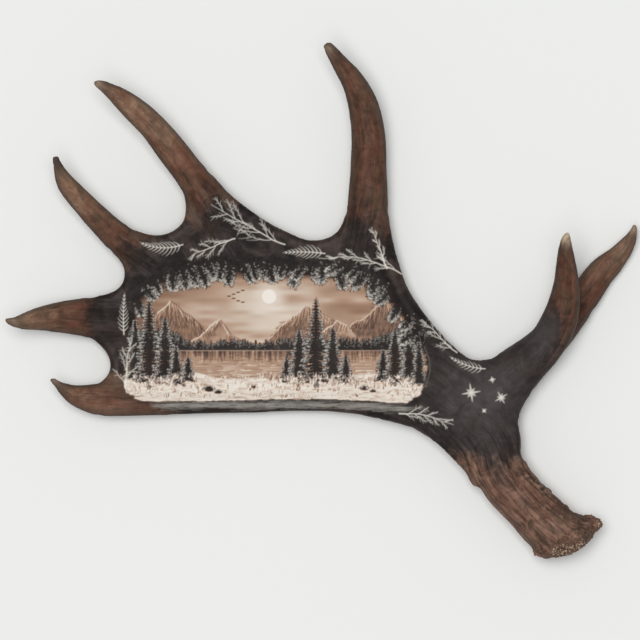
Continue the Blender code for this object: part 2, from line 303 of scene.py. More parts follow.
skin = laid_skin()
relax(skin, RELAX_PASSES)
heal_cuts(skin, HEALING_PASSES)
skin = with_modifier(skin, "SUBSURF", levels=1, render_levels=1)
halve_faces_of_fine_areas(skin)
relax(skin, 2)
place = points_of(skin)
facing = normals_of(skin)
lift = np.full(len(place), -CUT_CLOSING / MM)


# The limbs: the beam, the brow branch with its two tines, the palm's five tines and its rolled lower rim.
# The bone is ribbed along each of them, so every point of the skin learns its nearest limb, how far along
# it lies, and where it lies across. A station is (x, y, z, half width) in millimetres, from root to tip.
LIMBS = {
    "beam": [(58, -62, 20, 31), (120, -94, 26, 42), (165.6, -136, 30, 34.8), (180.2, -172.4, 32, 25.6),
             (205.5, -202.5, 33, 25.2), (226, -223, 34.5, 26.6), (252, -244, 34, 29.6)],
    "brow_branch": [(140, -117, 27, 30), (185.8, -79, 30, 27), (215.3, -52.3, 35, 21.1),
                    (238.5, -18.5, 47, 18.4), (245, 19.5, 66, 13), (243.8, 51.5, 88, 8), (245.8, 68, 101, 3)],
    "brow_tine_rear": [(235.2, -34.7, 27, 16.6), (266, 8.5, 16, 15.6), (288.5, 36.5, 11.5, 13.4),
                       (305.3, 55.5, 15, 9), (314.6, 77.5, 23, 3)],
    "palm_tine_1": [(36, 34.5, 21, 14), (47, 101.5, 30, 20.6), (47.5, 162.5, 37, 17.7), (32, 219.5, 54, 12.2),
                    (8.8, 251.5, 68, 6), (4.4, 258, 71, 3)],
    "palm_tine_2": [(-89, 57.5, 19, 14), (-118, 108.5, 29, 19.5), (-151.5, 154, 39, 15.6),
                    (-193.5, 197.7, 59, 12), (-222, 216, 74, 4), (-226.5, 216.5, 77, 3)],
    "palm_tine_3": [(-158, 31.5, 17, 13), (-201, 61.5, 26, 15.3), (-237.8, 98.3, 37, 12.1),
                    (-260.7, 129.5, 54, 7), (-264.6, 143.5, 63, 3)],
    "palm_tine_4": [(-172, -20.5, 12, 14), (-221, -18, 21, 21), (-261, -16, 30, 16), (-295, -20, 45, 9.3),
                    (-317, -18.5, 60, 2.5)],
    "palm_tine_5": [(-60, -101, 18, 10), (-100, -101.4, 18, 10), (-150, -102, 21, 10), (-209, -98, 24, 15.8),
                    (-246, -93.8, 32, 11.1), (-270.5, -77.1, 45, 3)],
}

# The stain on each limb: the spot where the dark gives way to brown and over how long a stretch, how much
# further the brown has run down one side, how pale it grows towards the tip, and the tip's own tone.
STAIN = {
    "beam": (182, -161, 90, 0.5, 0.55, 0.0), "brow_branch": (240, -14, 96, 1.3, 0.1, 0.85),
    "brow_tine_rear": (252, -14, 34, 0.0, 1.0, 0.6), "palm_tine_1": (47, 80, 60, 0.3, 0.1, 0.4),
    "palm_tine_2": (-110, 97, 58, 0.0, 1.0, 0.45), "palm_tine_3": (-190, 53, 50, 0.3, 1.2, 0.1),
    "palm_tine_4": (-236, -17, 30, 0.0, 2.0, 0.4), "palm_tine_5": (-150, -101, 50, 0.0, 0.6, 0.5),
}
STATION_STEPS = 12
LIMB_REACH = 54.0
RIB_EVENING = 4
STAIN_BLEEDING = 24


def eased(stations):
    """Catmull-Rom through the stations."""
    rows = np.array(stations, float)
    padded = np.vstack([2 * rows[0] - rows[1], rows, 2 * rows[-1] - rows[-2]])
    t = np.linspace(0, 1, STATION_STEPS, endpoint=False)[:, None]
    spans = [0.5 * (2 * b + (c - a) * t + (2 * a - 5 * b + 4 * c - d) * t**2 + (3 * b - a - 3 * c + d) * t**3)
             for a, b, c, d in zip(padded, padded[1:], padded[2:], padded[3:])]
    return np.vstack(spans + [rows[-1:]])


def run_along(middle):
    """How far along the line each of its points lies."""
    return np.concatenate([[0], np.cumsum(np.linalg.norm(np.diff(middle, axis=0), axis=1))])


def along_limb(stations):
    """For each point: how far along the limb, across it and over it, and its distance in half widths."""
    line = eased(stations)
    middle, half = line[:, :3], line[:, 3]
    run = run_along(middle)
    ahead = np.gradient(middle, axis=0)
    ahead /= np.linalg.norm(ahead, axis=1)[:, None]
    beside = np.cross(ahead, (0, 0, 1))
    beside /= np.linalg.norm(beside, axis=1)[:, None]
    above = np.cross(beside, ahead)
    low, high = middle.min(0) - LIMB_REACH, middle.max(0) + LIMB_REACH
    close = np.nonzero(((place > low) & (place < high)).all(1))[0]
    gap = ((place[close, None] - middle[None]) ** 2).sum(2)
    nearest = gap.argmin(1)
    away = place[close] - middle[nearest]
    forward = (away * ahead[nearest]).sum(1)
    across = (away * beside[nearest]).sum(1)
    over = (away * above[nearest]).sum(1)
    aside = np.sqrt(gap[np.arange(len(close)), nearest])
    return close, run[nearest] + forward, across, over, aside / half[nearest], across / half[nearest], run[-1]


def run_at(stations, x, y):
    """How far along the limb a spot on the plan lies."""
    line = eased(stations)
    return run_along(line[:, :3])[np.hypot(line[:, 0] - x, line[:, 1] - y).argmin()]


total = len(place)
closest, second = np.full(total, 99.0), np.full(total, 99.0)
limb_of = np.full(total, -1)
ribbing = np.zeros((total, 3))
brown = np.zeros(total)
pale, sides, tip, tip_tone = (np.zeros(total) for _ in range(4))
for number, (limb, stations) in enumerate(LIMBS.items()):
    near, run, across, over, ratio, sideways, length = along_limb(stations)
    x, y, stretch, skew, paling, tone = STAIN[limb]
    ahead = run - run_at(stations, x, y) + skew * across
    ahead += 0.3 * stretch * (np.minimum(sideways**2, 1.5) - 0.5)
    worn = smooth_step(-stretch / 2, stretch / 2, ahead)
    brown[near] = np.maximum(brown[near], worn * smooth_step(1.9, 1.15, ratio))
    nearer = ratio < closest[near]
    second[near] = np.where(nearer, closest[near], np.minimum(second[near], ratio))
    mine = near[nearer]
    closest[mine] = ratio[nearer]
    limb_of[mine] = number
    ribbing[mine] = np.stack([across, over, run + 400 * number], 1)[nearer]
    pale[mine] = paling * smooth_step(0, 110, ahead[nearer])
    # How far towards its side a point of the limb lies, for a greyer brown there: painted shade, with some
    # burnt stain.
    sides[mine] = smooth_step(0.4, 1.05, np.abs(sideways[nearer]))
    if limb != "beam":
        tip[mine] = smooth_step(30, 3, length - run[nearer])
        tip_tone[mine] = tone * tip[mine] ** 1.5
mean = neighbour_mean(skin)
inner = np.abs(mean(limb_of.astype(float)) - limb_of) < 1e-6
for _ in range(RIB_EVENING):
    ribbing[inner] = mean(ribbing)[inner]
for _ in range(STAIN_BLEEDING):
    brown = mean(brown)
limb_share = smooth_step(1.7, 1.1, closest) * smooth_step(0.0, 0.3, second - closest)
on_beam = limb_share * (limb_of == list(LIMBS).index("beam"))
upside = smooth_step(-0.1, 0.35, facing[:, 2])


# The tines are smooth to the hand, with faint ribs and shallow dents left by the blood vessels.
def ribbed(width, run, seed):
    """Noise drawn out along the limb: cells this wide across it and this long along it."""
    return lumps(ribbing / (width, width, run), seed)


dents = lumps(place / 17, 3) + 0.5 * lumps(place / 7, 4) - 0.75
lift += 0.35 * dents
tine_ribs = ribbed(4.5, 60, 5) + 0.6 * ribbed(2.4, 30, 6) - 0.8
lift += 0.16 * tine_ribs * limb_share * (1 - on_beam)

# The beam was never smoothed: it is deeply ribbed lengthwise, and warty towards its outer edge.
beam_start = smooth_step(-100, -175, place[:, 1])
crests = 1 - np.abs(2 * ribbed(5.5, 95, 8) - 1)
small_crests = 1 - np.abs(2 * ribbed(2.6, 34, 9) - 1)
beam_ribs = 1.3 * (crests - 0.75) + 1.0 * (small_crests - 0.6) + 0.4 * (lumps(place / 6, 10) - 0.5)
lift += beam_ribs * on_beam * (0.25 + 0.75 * beam_start)
outer_edge = on_beam * smooth_step(6, 19, -ribbing[:, 0]) * smooth_step(-150, -172, place[:, 1])
lift += (1.6 * smooth_step(0.5, 0.9, lumps(place / (5, 5, 9), 12)) - 0.5) * outer_edge
lift += 0.5 * smooth_step(0.55, 0.9, lumps(place / 2.6, 13)) * outer_edge

# The back of the palm keeps the branching grooves where the blood vessels of the velvet ran.
fan = place[:, :2] - (150, -110)
fan_turn = np.arctan2(fan[:, 1], -fan[:, 0])
fan_run = np.linalg.norm(fan, axis=1)
veins = np.abs(2 * lumps(np.stack([fan_turn * 16, fan_run / 95, place[:, 2] / 60], 1), 14) - 1)
back = 1 - upside
lift -= 0.9 * smooth_step(0.16, 0.0, veins) * back * (1 - 0.7 * limb_share)

# The worked face. The palm's concave side is ground flat, carved in low relief, burnt and painted: here a
# lake between snowy mountains, framed by spruces, with fern fronds and sprigs of fine white lines on the
# dark margins. It is worked stroke by stroke on a sheet laid over the palm, in millimetres on the plan.
SHEET_LEFT, SHEET_BOTTOM = -216.0, -152.0
SHEET_WIDE, SHEET_TALL = 424.0, 262.0
SHEET_CELL = 0.25
SKY_EDGE = [(-196, -96), (-197, -76), (-190, -50), (-188, -24), (-184, 0), (-166, 17), (-140, 26), (-106, 30),
            (-72, 26), (-40, 24), (-8, 27), (26, 24), (52, 14), (72, -4), (88, -22), (103, -42), (110, -62),
            (110, -78), (102, -88), (40, -92), (0, -92), (-50, -92), (-110, -93), (-160, -93)]
BANK_EDGE = [(108, -84), (104, -90), (96, -97.5), (84, -104), (60, -101.5), (40, -100), (0, -98.5),
             (-50, -99), (-110, -100.5), (-160, -101), (-184, -100), (-194, -96), (-197, -88)]
PICTURE_EDGE = [(-150, 60), (-182, 40), (-190, 20), (-197, 0), (-201, -30), (-201, -60), (-198, -80),
                (-193, -91), (-185, -98), (-172, -101), (-110, -101.4), (-50, -100), (0, -99.5), (40, -101),
                (60, -102.5), (78, -103), (90, -100), (98, -93), (104, -83), (107, -71), (106, -58),
                (103, -44), (108, -20), (60, 60)]
SHORE = -50.0
BANK = -76.0
BLACK = 0.04
brush = np.random.default_rng(20)
sheet_x = SHEET_LEFT + (np.arange(int(SHEET_WIDE / SHEET_CELL)) + 0.5) * SHEET_CELL
sheet_y = SHEET_BOTTOM + (np.arange(int(SHEET_TALL / SHEET_CELL)) + 0.5) * SHEET_CELL
sheet = {layer: np.zeros((len(sheet_y), len(sheet_x))) for layer in ("tone", "white", "drawn", "raised")}


def drift(cell_x, cell_y, seed):
    """Smooth noise over the sheet, from 0 to 1, in cells of this size."""
    weights = []
    for line, cell in ((sheet_y, cell_y), (sheet_x, cell_x)):
        spot = (line - line[0]) / cell
        low = spot.astype(int)
        part = spot - low
        part = part * part * (3 - 2 * part)
        table = np.zeros((len(line), low[-1] + 2))
        table[np.arange(len(line)), low] = 1 - part
        table[np.arange(len(line)), low + 1] += part
        weights.append(table)
    grid = np.random.default_rng(seed).random((weights[0].shape[1], weights[1].shape[1]))
    return weights[0] @ grid @ weights[1].T


def patch(low, high):
    """The rows and columns of the sheet between two corners."""
    spans = ((sheet_y, low[1], high[1]), (sheet_x, low[0], high[0]))
    return [slice(*np.searchsorted(cells, (start, end))) for cells, start, end in spans]


def cover(rows, columns, share, paint):
    """Lays paint over part of the sheet: each layer named moves this share of the way to its value."""
    for layer, value in paint.items():
        part = sheet[layer][rows, columns]
        part += share * (value - part)


def stroke(start, end, wide, narrow, strength=1.0, soft=0.4, **paint):
    """A tapering brush stroke, given by its half widths at start and end."""
    (x0, y0), (x1, y1) = start, end
    reach = max(wide, narrow) + soft
    low, high = np.minimum(start, end) - reach, np.maximum(start, end) + reach
    rows, columns = patch(low, high)
    across = sheet_x[None, columns] - x0
    up = sheet_y[rows, None] - y0
    dx, dy = x1 - x0, y1 - y0
    t = np.clip((across * dx + up * dy) / max(dx * dx + dy * dy, 1e-6), 0, 1)
    away = np.hypot(across - t * dx, up - t * dy) - wide - (narrow - wide) * t
    cover(rows, columns, np.clip(0.5 - away / soft, 0, 1) * strength, paint)


def line(points, wide, narrow, **settings):
    """A longer stroke through several points."""
    steps = len(points) - 1
    for i in range(steps):
        width = [wide + (narrow - wide) * t / steps for t in (i, i + 1)]
        stroke(points[i], points[i + 1], *width, **settings)


def filled(outline, ragged=0.0, cell=3.0, seed=0, soft=0.5, **paint):
    """A filled outline; ragged is how far noise pushes its edge, in millimetres."""
    corners = np.array(outline)
    low, high = corners.min(0) - 4 - ragged, corners.max(0) + 4 + ragged
    rows, columns = patch(low, high)
    x, y = np.meshgrid(sheet_x[columns], sheet_y[rows])
    if ragged:
        x = x + ragged * (2 * drift(cell, cell, seed)[rows, columns] - 1)
        y = y + ragged * (2 * drift(cell, cell, seed + 1)[rows, columns] - 1)
    share = inside_outline(x, y, list(outline)).astype(float)
    spread = max(int(soft / SHEET_CELL), 1)
    cover(rows, columns, softened(share, spread), paint)


def softened(field, spread):
    """A box blur, twice, over this many cells."""
    for _ in range(2):
        for axis in (0, 1):
            padded = np.cumsum(np.pad(field, [(spread + 1, spread) if a == axis else (0, 0) for a in (0, 1)],
                                      mode="edge"), axis=axis)
            width = 2 * spread + 1
            field = (np.take(padded, range(width, padded.shape[axis]), axis)
                     - np.take(padded, range(padded.shape[axis] - width), axis)) / width
    return field


def turned(angle, length):
    return np.array([math.cos(angle), math.sin(angle)]) * length


def heading_at(rib, i):
    """Which way a line of points runs on at its point i, in degrees."""
    return math.degrees(math.atan2(*(rib[i] - rib[i - 1])[::-1]))


def bowed(start, heading, length, bend, steps, wander=0.0):
    """Points along a line that sets out at a heading in degrees and turns by bend degrees in all."""
    points = [np.array(start, float)]
    for i in range(steps):
        heading += wander * brush.normal() if wander else 0
        angle = math.radians(heading + bend * (i + 0.5) / steps)
        points.append(points[-1] + turned(angle, length / steps))
    return points


def sky():
    filled(SKY_EDGE, ragged=2.4, cell=5, seed=30, soft=0.6, drawn=1.0, tone=0.5, raised=-0.5)
    inside = sheet["drawn"]
    x, y = np.meshgrid(sheet_x, sheet_y)
    depth = softened(inside, 34) ** 1.5
    glow = np.exp(-(((x + 44) / 80) ** 2 + ((y + 24) / 42) ** 2))
    haze = drift(46, 9, 31) + 0.5 * drift(17, 4, 32) - 0.75
    tone = 0.25 + 0.26 * depth + 0.27 * glow + 0.22 * haze
    sheet["tone"] += inside * (np.clip(tone, 0.24, 0.95) - sheet["tone"])


def low_sun(spot, radius):
    for ring, strength in ((2.6, 0.16), (1.9, 0.2), (1.4, 0.3)):
        stroke(spot, spot, radius * ring, radius * ring, strength=strength, soft=radius, tone=0.95)
    stroke(spot, spot, radius, radius, soft=0.7, strength=0.9, tone=1.0, white=0.35)


def ragged_slope(start, end, rough, levels):
    """Points along a slope, each halfway point pushed up or down."""
    points = [np.array(start, float), np.array(end, float)]
    for _ in range(levels):
        halved = [points[0]]
        for a, b in zip(points, points[1:]):
            halved += [(a + b) / 2 + (0, brush.normal(0, rough)), b]
        points = halved
        rough *= 0.5
    return points


def mountain(left, peak, right, tone, snow):
    """A peak: its mass, and spurs that run down its sides, snowy on the lit one and burnt on the other."""
    peak = np.array(peak, float)
    slope = ragged_slope(left, peak, 4.2, 5)
    fall = ragged_slope(peak, right, 4.2, 5)
    filled(slope + fall[1:], soft=0.3, tone=tone, raised=-0.15, drawn=1.0)
    tall = peak[1] - left[1]
    crest = slope + fall[1:]
    for _ in range(int(tall * 5)):
        root = crest[brush.integers(1, len(crest) - 1)]
        drop = (root[1] - left[1]) * brush.uniform(0.15, 0.9)
        lean = 12 if root[0] > peak[0] else -16
        spur = bowed(root - (0, 0.3), -90 + lean + brush.normal(0, 9), drop, brush.normal(0, 22), 6, wander=9)
        high = smooth_step(-0.1, 0.75, (root[1] - left[1]) / tall)
        line(spur, 0.35, 0.75, strength=0.34, soft=0.7, tone=tone - 0.22, raised=-0.25)
        line([p - (0.75, 0) for p in spur[:4]], 0.3, 0.2, strength=0.3 + 0.45 * high, tone=snow, raised=0.05)
    for a, b in zip(slope, slope[1:]):
        stroke(a - (0, 0.5), b - (0, 0.5), 0.5, 0.5, strength=0.5, tone=snow)


def mist():
    """Pale haze at the mountains' feet."""
    for _ in range(260):
        x = brush.uniform(-196, 104)
        y = SHORE + abs(brush.normal(0, 9))
        stroke((x, y), (x + brush.uniform(8, 26), y), 1.8, 0.8, strength=0.13, soft=2.5, tone=0.74)


def far_tree(x, foot, tall):
    stroke((x, foot), (x, foot + tall), 0.55, 0.15, tone=BLACK, drawn=1.0, raised=0.1)
    for level in np.linspace(0.1, 0.95, max(int(tall / 0.95), 4)):
        reach = tall * 0.17 * (1 - level) + 0.5
        y = foot + tall * level
        for side in (-1, 1):
            end = np.array([x + side * reach * brush.uniform(0.8, 1.2), y - reach * 0.6])
            stroke((x, y), end, 0.6, 0.3, tone=BLACK + 0.07 * brush.random(), drawn=1.0, raised=0.15)
            if brush.random() < 0.8 * level**3:
                stroke(end, end + (-side * 0.6, 0.5), 0.2, 0.12, strength=0.6, white=0.7)


def lake():
    corners = [(-214, SHORE), (118, SHORE), (118, BANK - 6), (-214, BANK - 6)]
    filled(corners, soft=0.3, tone=0.62, raised=-0.35)
    for _ in range(420):
        y = brush.uniform(BANK - 4, SHORE)
        near = (SHORE - y) / (SHORE - BANK)
        x = brush.uniform(-205, 108)
        long = brush.uniform(4, 16) * (0.5 + near)
        shade = 0.2 + 0.35 * near if brush.random() < 0.72 - 0.45 * near else 0.92
        end = (x + long, y + brush.normal(0, 0.15))
        stroke((x, y), end, 0.25 + 0.25 * near, 0.1, strength=0.55, tone=shade)
    for _ in range(420):
        x = brush.uniform(-206, 106)
        long = brush.uniform(2, 12)
        stroke((x, SHORE + 0.3), (x, SHORE - long), 0.8, 0.3, strength=0.3, soft=0.8, tone=0.12)
    line([(-212, SHORE), (118, SHORE)], 0.35, 0.35, strength=0.65, tone=0.85, white=0.3)


def spruce(x, foot, tall, spread, frost=0.85):
    """A spruce: dark drooping boughs hung with needles, and frost along their tops and tips."""
    stroke((x, foot), (x, foot + tall), tall * 0.022 + 0.4, 0.2, tone=BLACK, raised=0.3, drawn=1.0)
    levels = int(tall / (1.8 + tall / 70))
    for level in range(levels):
        t = level / levels
        y = foot + tall * (0.08 + 0.92 * t)
        for side in (-1, 1):
            reach = spread * (1 - t) ** 0.85 * brush.uniform(0.7, 1.15) + 0.6
            heading = 90 - side * (118 - 26 * t + brush.uniform(-7, 7))
            bough = bowed((x, y), heading, reach, side * 34, 5)
            dark = BLACK + 0.07 * brush.random()
            line(bough, 1.35 - 0.5 * t, 0.5, tone=dark, white=0.0, raised=0.55, drawn=1.0)
            for _ in range(int(reach * 1.6) + 1):
                spot = bough[int(brush.uniform(0.5, 5.99))] + (brush.normal(0, 0.3), 0)
                drop = brush.uniform(1.0, 2.6) * (1 - 0.4 * t)
                end = spot + (side * 0.5, -drop)
                stroke(spot, end, 0.42, 0.12, tone=dark, white=0.0, raised=0.45, drawn=1.0)
            crown = [point + (0, 0.4) for point in bough[3:]]
            line(crown, 0.08, 0.26, strength=frost * brush.uniform(0.3, 0.8), white=0.85, raised=0.7)
            for _ in range(int(reach * frost) + 2):
                spot = bough[int(3 + 3 * brush.random() ** 0.6 * 0.999)]
                spot = spot + (brush.normal(0, 0.5), brush.uniform(0, 0.7))
                tick = turned(math.radians(-90 + side * brush.uniform(5, 60)), brush.uniform(0.6, 1.5))
                strength = frost * brush.uniform(0.5, 1.0)
                stroke(spot, spot + tick, 0.22, 0.08, strength=strength, white=0.9, raised=0.6)


def snow_bank():
    """The near bank: drifted snow with blades of frosted grass and a few stones."""
    crest = [(x, BANK + 3.0 * math.sin(x / 31) + 1.6 * math.sin(x / 11 + 1)) for x in range(-198, 112, 5)]
    filled(crest + BANK_EDGE, ragged=0.5, cell=3, seed=40, soft=0.4,
           tone=0.9, white=0.2, raised=-0.05, drawn=1.0)
    for _ in range(1500):
        x = brush.uniform(-200, 104)
        y = brush.uniform(-100, BANK + 1)
        if sheet["drawn"][np.searchsorted(sheet_y, y), np.searchsorted(sheet_x, x)] < 0.9:
            continue
        shade = brush.choice([0.28, 0.4, 0.5, 0.62, 0.74, 0.86, 1.0, 1.0])
        long = brush.uniform(3, 14)
        heading = math.degrees(0.09 * math.cos(x / 31)) + brush.normal(0, 4)
        sweep = bowed((x, y), heading, long, brush.normal(0, 12), 3)
        strength = 0.22 + 0.25 * brush.random()
        line(sweep, 0.4, 0.08, strength=strength, tone=shade, white=0.1 + 0.4 * (shade > 0.9))
    for _ in range(120):
        x = brush.uniform(-196, 100)
        y = BANK - 22 * brush.random() ** 2
        end = (x + brush.uniform(3, 9), y - 0.4)
        stroke((x, y), end, 0.8, 0.2, strength=0.3, soft=1.0, tone=0.34, white=0.0)


def grass(x, y, blades, tall, light):
    for _ in range(blades):
        root = (x + brush.normal(0, 1.5), y + brush.normal(0, 0.4))
        blade = bowed(root, 90 + brush.normal(0, 22), tall * brush.uniform(0.5, 1.1), brush.normal(0, 40), 3)
        if brush.random() < light:
            line(blade, 0.24, 0.08, strength=0.85, tone=1.0, white=0.85, raised=0.35)
        else:
            line(blade, 0.26, 0.08, strength=0.85, tone=0.3, white=0.0, raised=0.3)


def stone(x, y, size):
    shape = [(x + size * (1 + 0.15 * brush.normal()) * math.cos(a), y + 0.55 * size * math.sin(a))
             for a in np.linspace(0, 2 * math.pi, 12, endpoint=False)]
    filled(shape, soft=0.3, tone=0.14, white=0.0, raised=0.4)
    for _ in range(int(size * 6)):
        a = brush.uniform(0.3, 2.8)
        spot = (x + size * 0.85 * math.cos(a), y + 0.5 * size * math.sin(a))
        stroke(spot, (spot[0] + brush.normal(0, 0.8), spot[1] - 0.4), 0.3, 0.12, strength=0.75, white=0.85)


def needled(rib, long, strength, white, spacing=0.9, raised=0.5, wide=0.2):
    """Needles along both sides of a rib, longest in the middle."""
    count = max(int(sum(np.hypot(*(b - a)) for a, b in zip(rib, rib[1:])) / spacing), 2)
    for i in range(count):
        t = (i + 0.5) / count * (len(rib) - 1)
        a, b = rib[int(t)], rib[int(t) + 1]
        spot = a + (t - int(t)) * (b - a)
        forward = math.atan2(*(b - a)[::-1])
        for side in (-1, 1):
            tick = turned(forward + side * brush.uniform(0.6, 0.95), long * brush.uniform(0.7, 1.15))
            stroke(spot, spot + tick, wide, 0.08, strength=strength, white=white, raised=raised)


def hanging_bough(start, heading, length, bend):
    """A bough that hangs into the picture from the dark margin, its needles frosted towards its tips."""
    rib = bowed(start, heading, length, bend, 10)
    line(rib, 2.2, 0.5, tone=BLACK, drawn=1.0, white=0.0, raised=0.7)
    for i in range(1, 10):
        forward = heading_at(rib, i)
        for side in (-1, 1):
            twig_long = length * 0.42 * math.sin(math.pi * (0.24 + 0.68 * i / 10)) * brush.uniform(0.75, 1.1)
            twig = bowed(rib[i], forward + side * brush.uniform(36, 50), twig_long, -side * 22, 6)
            line(twig, 1.3, 0.7, tone=BLACK + 0.03, drawn=1.0, white=0.0, raised=0.6)
            for _ in range(int(twig_long * 2.4)):
                spot = twig[brush.integers(0, 7)] + brush.normal(0, 0.5, 2)
                aim = math.radians(forward + side * 40 + brush.normal(0, 42))
                tick = turned(aim, brush.uniform(1.0, 2.4))
                stroke(spot, spot + tick, 0.35, 0.12, tone=BLACK + 0.05, drawn=1.0, white=0.0, raised=0.6)
            for _ in range(int(twig_long * (0.3 + 3.6 * (i / 10) ** 1.5))):
                k = min(int(7 * brush.random() ** 0.35), 6)
                spot = twig[k] + brush.normal(0, 0.5, 2)
                aim = math.radians(forward + side * 30 + brush.normal(0, 38))
                tick = turned(aim, brush.uniform(0.7, 1.7))
                strength = brush.uniform(0.45, 1.0)
                stroke(spot, spot + tick, 0.21, 0.08, strength=strength, white=0.92, raised=0.8)


def canopy(edge, spacing):
    """Dark boughs side by side along the picture's upper edge."""
    band = [(x, y - 2) for x, y in edge] + [(x, y + 13) for x, y in reversed(edge)]
    filled(band, ragged=4, cell=5, seed=50, soft=3, tone=BLACK, drawn=1.0, white=0.0, raised=0.3)
    xs = [x for x, _ in edge]
    ys = [y for _, y in edge]
    for x in np.arange(xs[0], xs[-1], spacing):
        y = np.interp(x, xs, ys)
        lean = 55 * (x + 45) / 150
        heading = -90 - lean * 0.6 + brush.normal(0, 16)
        hanging_bough((x + brush.normal(0, 2), y + brush.uniform(8, 15)), heading, brush.uniform(17, 27),
                      brush.normal(0, 20))


def fern(start, heading, length, bend, reach=0.3):
    """A fern frond of fine white lines: a bowed rib, and leaflets that curve forward and shorten."""
    steps = max(int(length / 3.6), 7)
    rib = bowed(start, heading, length, bend, steps)
    line(rib, 0.45, 0.12, strength=0.95, white=0.95, raised=0.3)
    for i in range(1, steps):
        t = i / steps
        forward = heading_at(rib, i)
        long = length * reach * (1.02 - t) ** 0.8 * smooth_step(-0.25, 0.3, t)
        for side in (-1, 1):
            heading = forward + side * (70 - 22 * t)
            leaflet = bowed(rib[i], heading, long * brush.uniform(0.85, 1.1), -side * 42, 5)
            line(leaflet, 0.4, 0.1, strength=brush.uniform(0.75, 1.0), white=0.9, raised=0.25)


def sprig(start, heading, length, bend, twigs=11, spread=0.4):
    """A larch sprig of fine white lines: a bowed rib with side twigs, which fork again into shorter ones."""
    rib = bowed(start, heading, length, bend, 18, wander=5)
    line(rib, 0.5, 0.14, strength=1.0, white=0.94, raised=0.3)
    for k in range(twigs):
        i = 2 + int(k * 15 / twigs)
        forward = heading_at(rib, i)
        side = 1 if k % 2 else -1
        long = length * spread * (1 - 0.7 * i / 18) * brush.uniform(0.75, 1.25)
        twig = bowed(rib[i], forward + side * brush.uniform(26, 44), long, -side * 20, 9, wander=6)
        line(twig, 0.28, 0.08, strength=0.95, white=0.92, raised=0.25)
        needled(twig[5:], 0.9, 0.45, 0.85, spacing=1.4, raised=0.25, wide=0.13)
        for j in (2, 3, 4, 5, 6, 7):
            ahead = heading_at(twig, j)
            turn = 1 if j % 2 else -1
            aim = ahead + turn * brush.uniform(24, 46)
            shoot = bowed(twig[j], aim, long * brush.uniform(0.12, 0.36), 0, 4, wander=8)
            line(shoot, 0.19, 0.06, strength=0.85, white=0.9, raised=0.2)


def star(x, y, radius, turn=0.0):
    """A small eight-pointed star in pale paint, four points long and four short."""
    corners = []
    for point in range(16):
        angle = math.radians(turn) + math.pi * point / 8
        reach = radius * (0.3 if point % 2 else (1.0 if point % 4 == 0 else 0.62))
        corners.append((x + reach * math.cos(angle), y + reach * math.sin(angle)))
    filled(corners, soft=0.25, white=0.62, raised=0.25)
    for point in range(0, 16, 2):
        angle = math.radians(turn) + math.pi * point / 8
        reach = radius * (0.86 if point % 4 == 0 else 0.5)
        stroke((x, y), (x + reach * math.cos(angle), y + reach * math.sin(angle)), 0.3, 0.1, strength=0.8,
               white=0.95, raised=0.4)


def flying_geese(x, y, count):
    for i in range(count):
        side = -1 if i % 2 else 1
        rank = (i + 1) // 2
        spot = np.array([x + rank * 4.6, y + side * rank * 2.0 + brush.normal(0, 0.3)])
        for wing in (-1, 1):
            line(bowed(spot, 90 + wing * 62, 2.0, wing * 40, 3), 0.32, 0.12, strength=0.9, tone=0.1)
        stroke(spot + (-1.2, 0.1), spot + (0.9, 0), 0.22, 0.3, strength=0.9, tone=0.1)


sky()
low_sun((-52, 4), 7.0)
for left, peak, right, tone, snow in ((-196, (-150, 0), -92, 0.5, 0.84), (-66, (-16, -6), 40, 0.53, 0.87),
                                      (10, (62, 2), 122, 0.46, 0.82), (-142, (-100, -18), -50, 0.57, 0.9),
                                      (-16, (26, -24), 64, 0.57, 0.9)):
    mountain((left, SHORE), peak, (right, SHORE), tone, snow)
mist()
for x in np.arange(-192, 106, 1.7):
    rise = 13 * smooth_step(-118, -178, x) + 12 * smooth_step(28, 90, x)
    rise += 5 * math.exp(-(((x + 6) / 30) ** 2))
    far_tree(x + brush.normal(0, 0.5), SHORE - 0.5, 5 + rise + 6 * brush.random() + 3 * math.sin(x / 19) ** 2)
lake()
snow_bank()
flying_geese(-92, 4, 7)
for x, foot, tall, spread in (
        (-186, -80, 62, 10), (-172, -86, 88, 15), (-156, -78, 62, 12), (-145, -84, 40, 10),
        (-133, -80, 24, 7), (-34, -82, 28, 7), (-22, -78, 50, 11), (-5, -85, 88, 16), (12, -80, 54, 11),
        (25, -82, 28, 8),
        (62, -80, 32, 8), (74, -84, 56, 12), (88, -80, 60, 11), (98, -84, 44, 8)):
    spruce(x, foot, tall, spread)
for x, y, size in ((-112, -88, 6), (-103, -91, 4), (44, -87, 5), (52, -90, 3.4), (-66, -86, 3.4)):
    stone(x, y, size)
for _ in range(150):
    x = brush.uniform(-190, 96)
    grass(x, BANK - 22 * brush.random() ** 1.4, 8, brush.uniform(2.5, 6), 0.6)
for x in (-184, -170, -150, -120, -92, -30, -8, 10, 36, 66, 82, 94):
    grass(x, -86 + brush.normal(0, 3), 30, 10, 0.5)

# Nothing of the picture runs over its outline; past it the dark margin begins.
outline = np.zeros_like(sheet["tone"])
columns, rows = np.meshgrid(sheet_x, sheet_y)
smooth_edge = [tuple(corner) for corner in eased(PICTURE_EDGE + PICTURE_EDGE[:1])]
columns = columns + 4 * drift(3.5, 6, 44) + 5 * drift(9, 0.9, 45) - 4.5
rows = rows + 3.0 * drift(8, 1.2, 46) - 1.2
outline[inside_outline(columns, rows, smooth_edge)] = 1
outline = softened(outline, 2)
for layer in sheet:
    sheet[layer] *= outline
canopy([(-188, -8), (-180, 6), (-162, 20), (-134, 29), (-100, 33), (-70, 29), (-40, 28), (-8, 30), (26, 27),
        (52, 17), (74, 0), (90, -18), (101, -36)], 9.0)
sprig((-36, 56), 158, 84, -26)
sprig((-86, 62), 196, 52, 22, twigs=8)
fern((-138, 56), 200, 44, -46)
sprig((-194, -92), 100, 58, -22, twigs=8)
fern((-197, -34), 94, 42, -10, reach=0.24)
